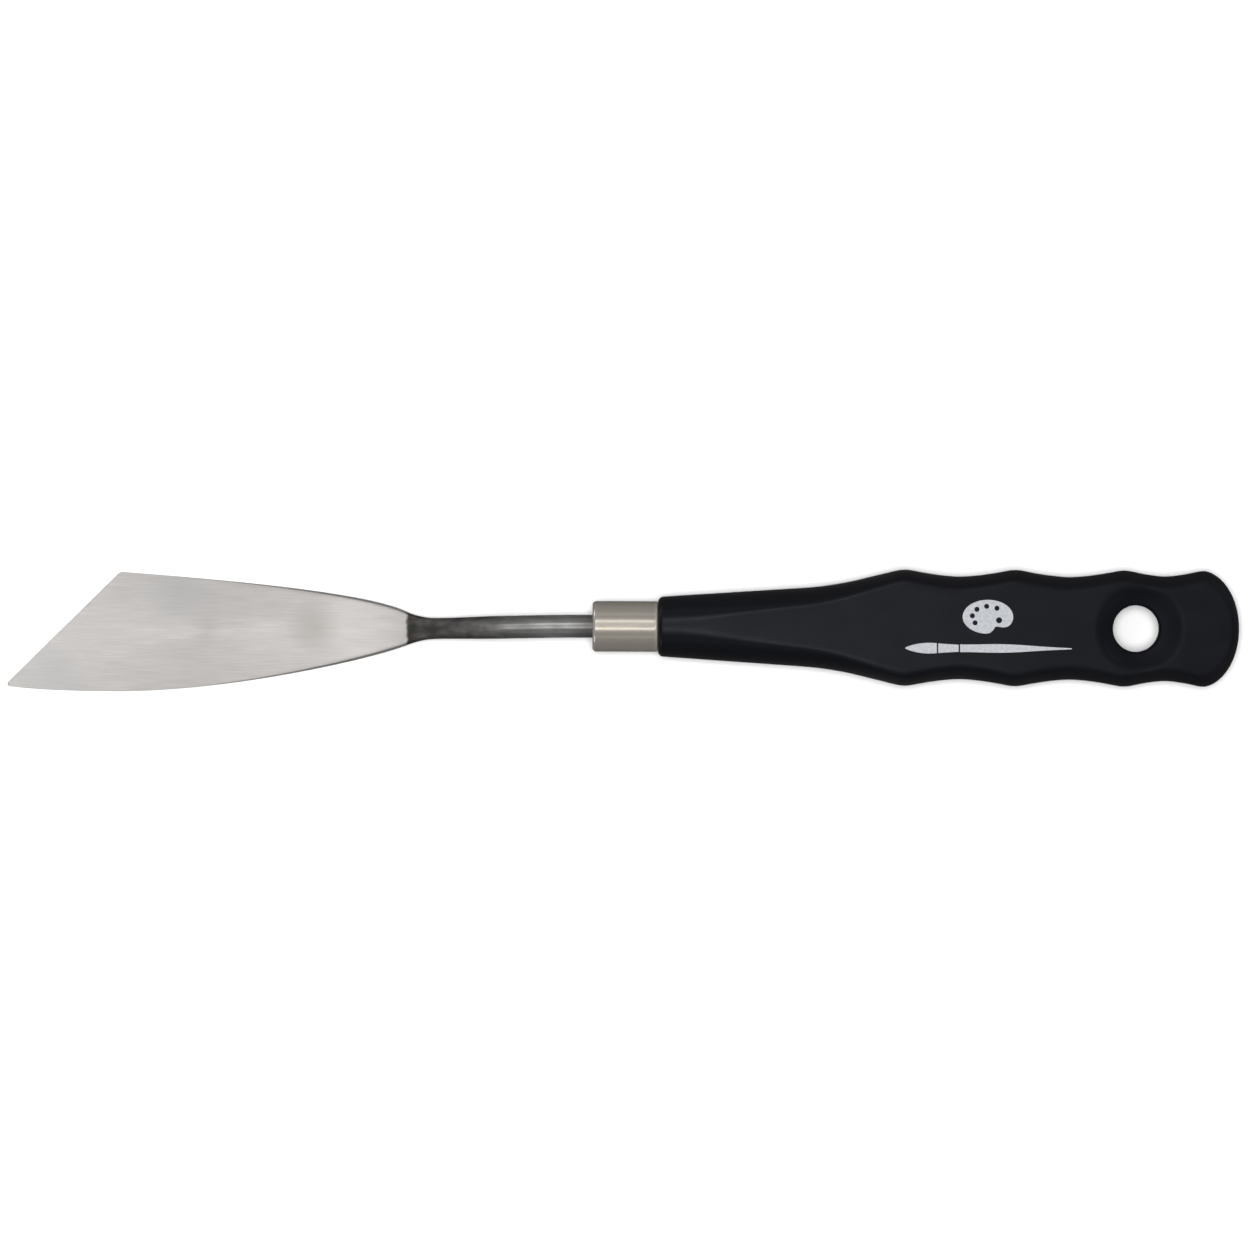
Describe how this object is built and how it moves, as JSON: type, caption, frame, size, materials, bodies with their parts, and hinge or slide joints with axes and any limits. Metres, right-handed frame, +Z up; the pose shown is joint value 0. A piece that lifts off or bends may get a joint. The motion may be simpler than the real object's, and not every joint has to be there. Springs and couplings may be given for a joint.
{
  "type": "palette knife",
  "caption": "Painting knife with an angular flexible steel blade, cranked round shank, metal ferrule and waisted finger-grooved soft-grip handle with a hanging hole.",
  "frame": {"origin": "under the middle of the handle's length, on the flat underside that the knife lies on, in the plane of the handle's axis", "axes": "+X from the blade's tip to the handle's butt along the handle's axis, +Y to the side of the blade's short edge, +Z up away from the surface that the knife lies on"},
  "size_m": [0.254, 0.0257, 0.0134],
  "materials": {
    "blade_steel": "lengthwise brushed, satin",
    "shank_steel": "dark as-forged rod, lightly polished on top",
    "ferrule_nickel": "warm satin nickel plate",
    "core_plastic": "moulded, hidden inside the grip",
    "grip_rubber": "soft-touch matte moulding with fine grain"
  },
  "bodies": {
    "handle": {"shank": "shank_steel", "ferrule": "ferrule_nickel", "handle_core": "core_plastic", "handle_grip": "grip_rubber"},
    "blade": {"blade": "blade_steel"}
  },
  "joints": [
    {"name": "blade_flex", "type": "hinge", "parent": "handle", "child": "blade", "pos_m": [-0.1114, 0, 0.00295], "axis": [0, 1, 0], "range_deg": [0, 25], "stiffness_Nm_per_rad": 3}
  ]
}
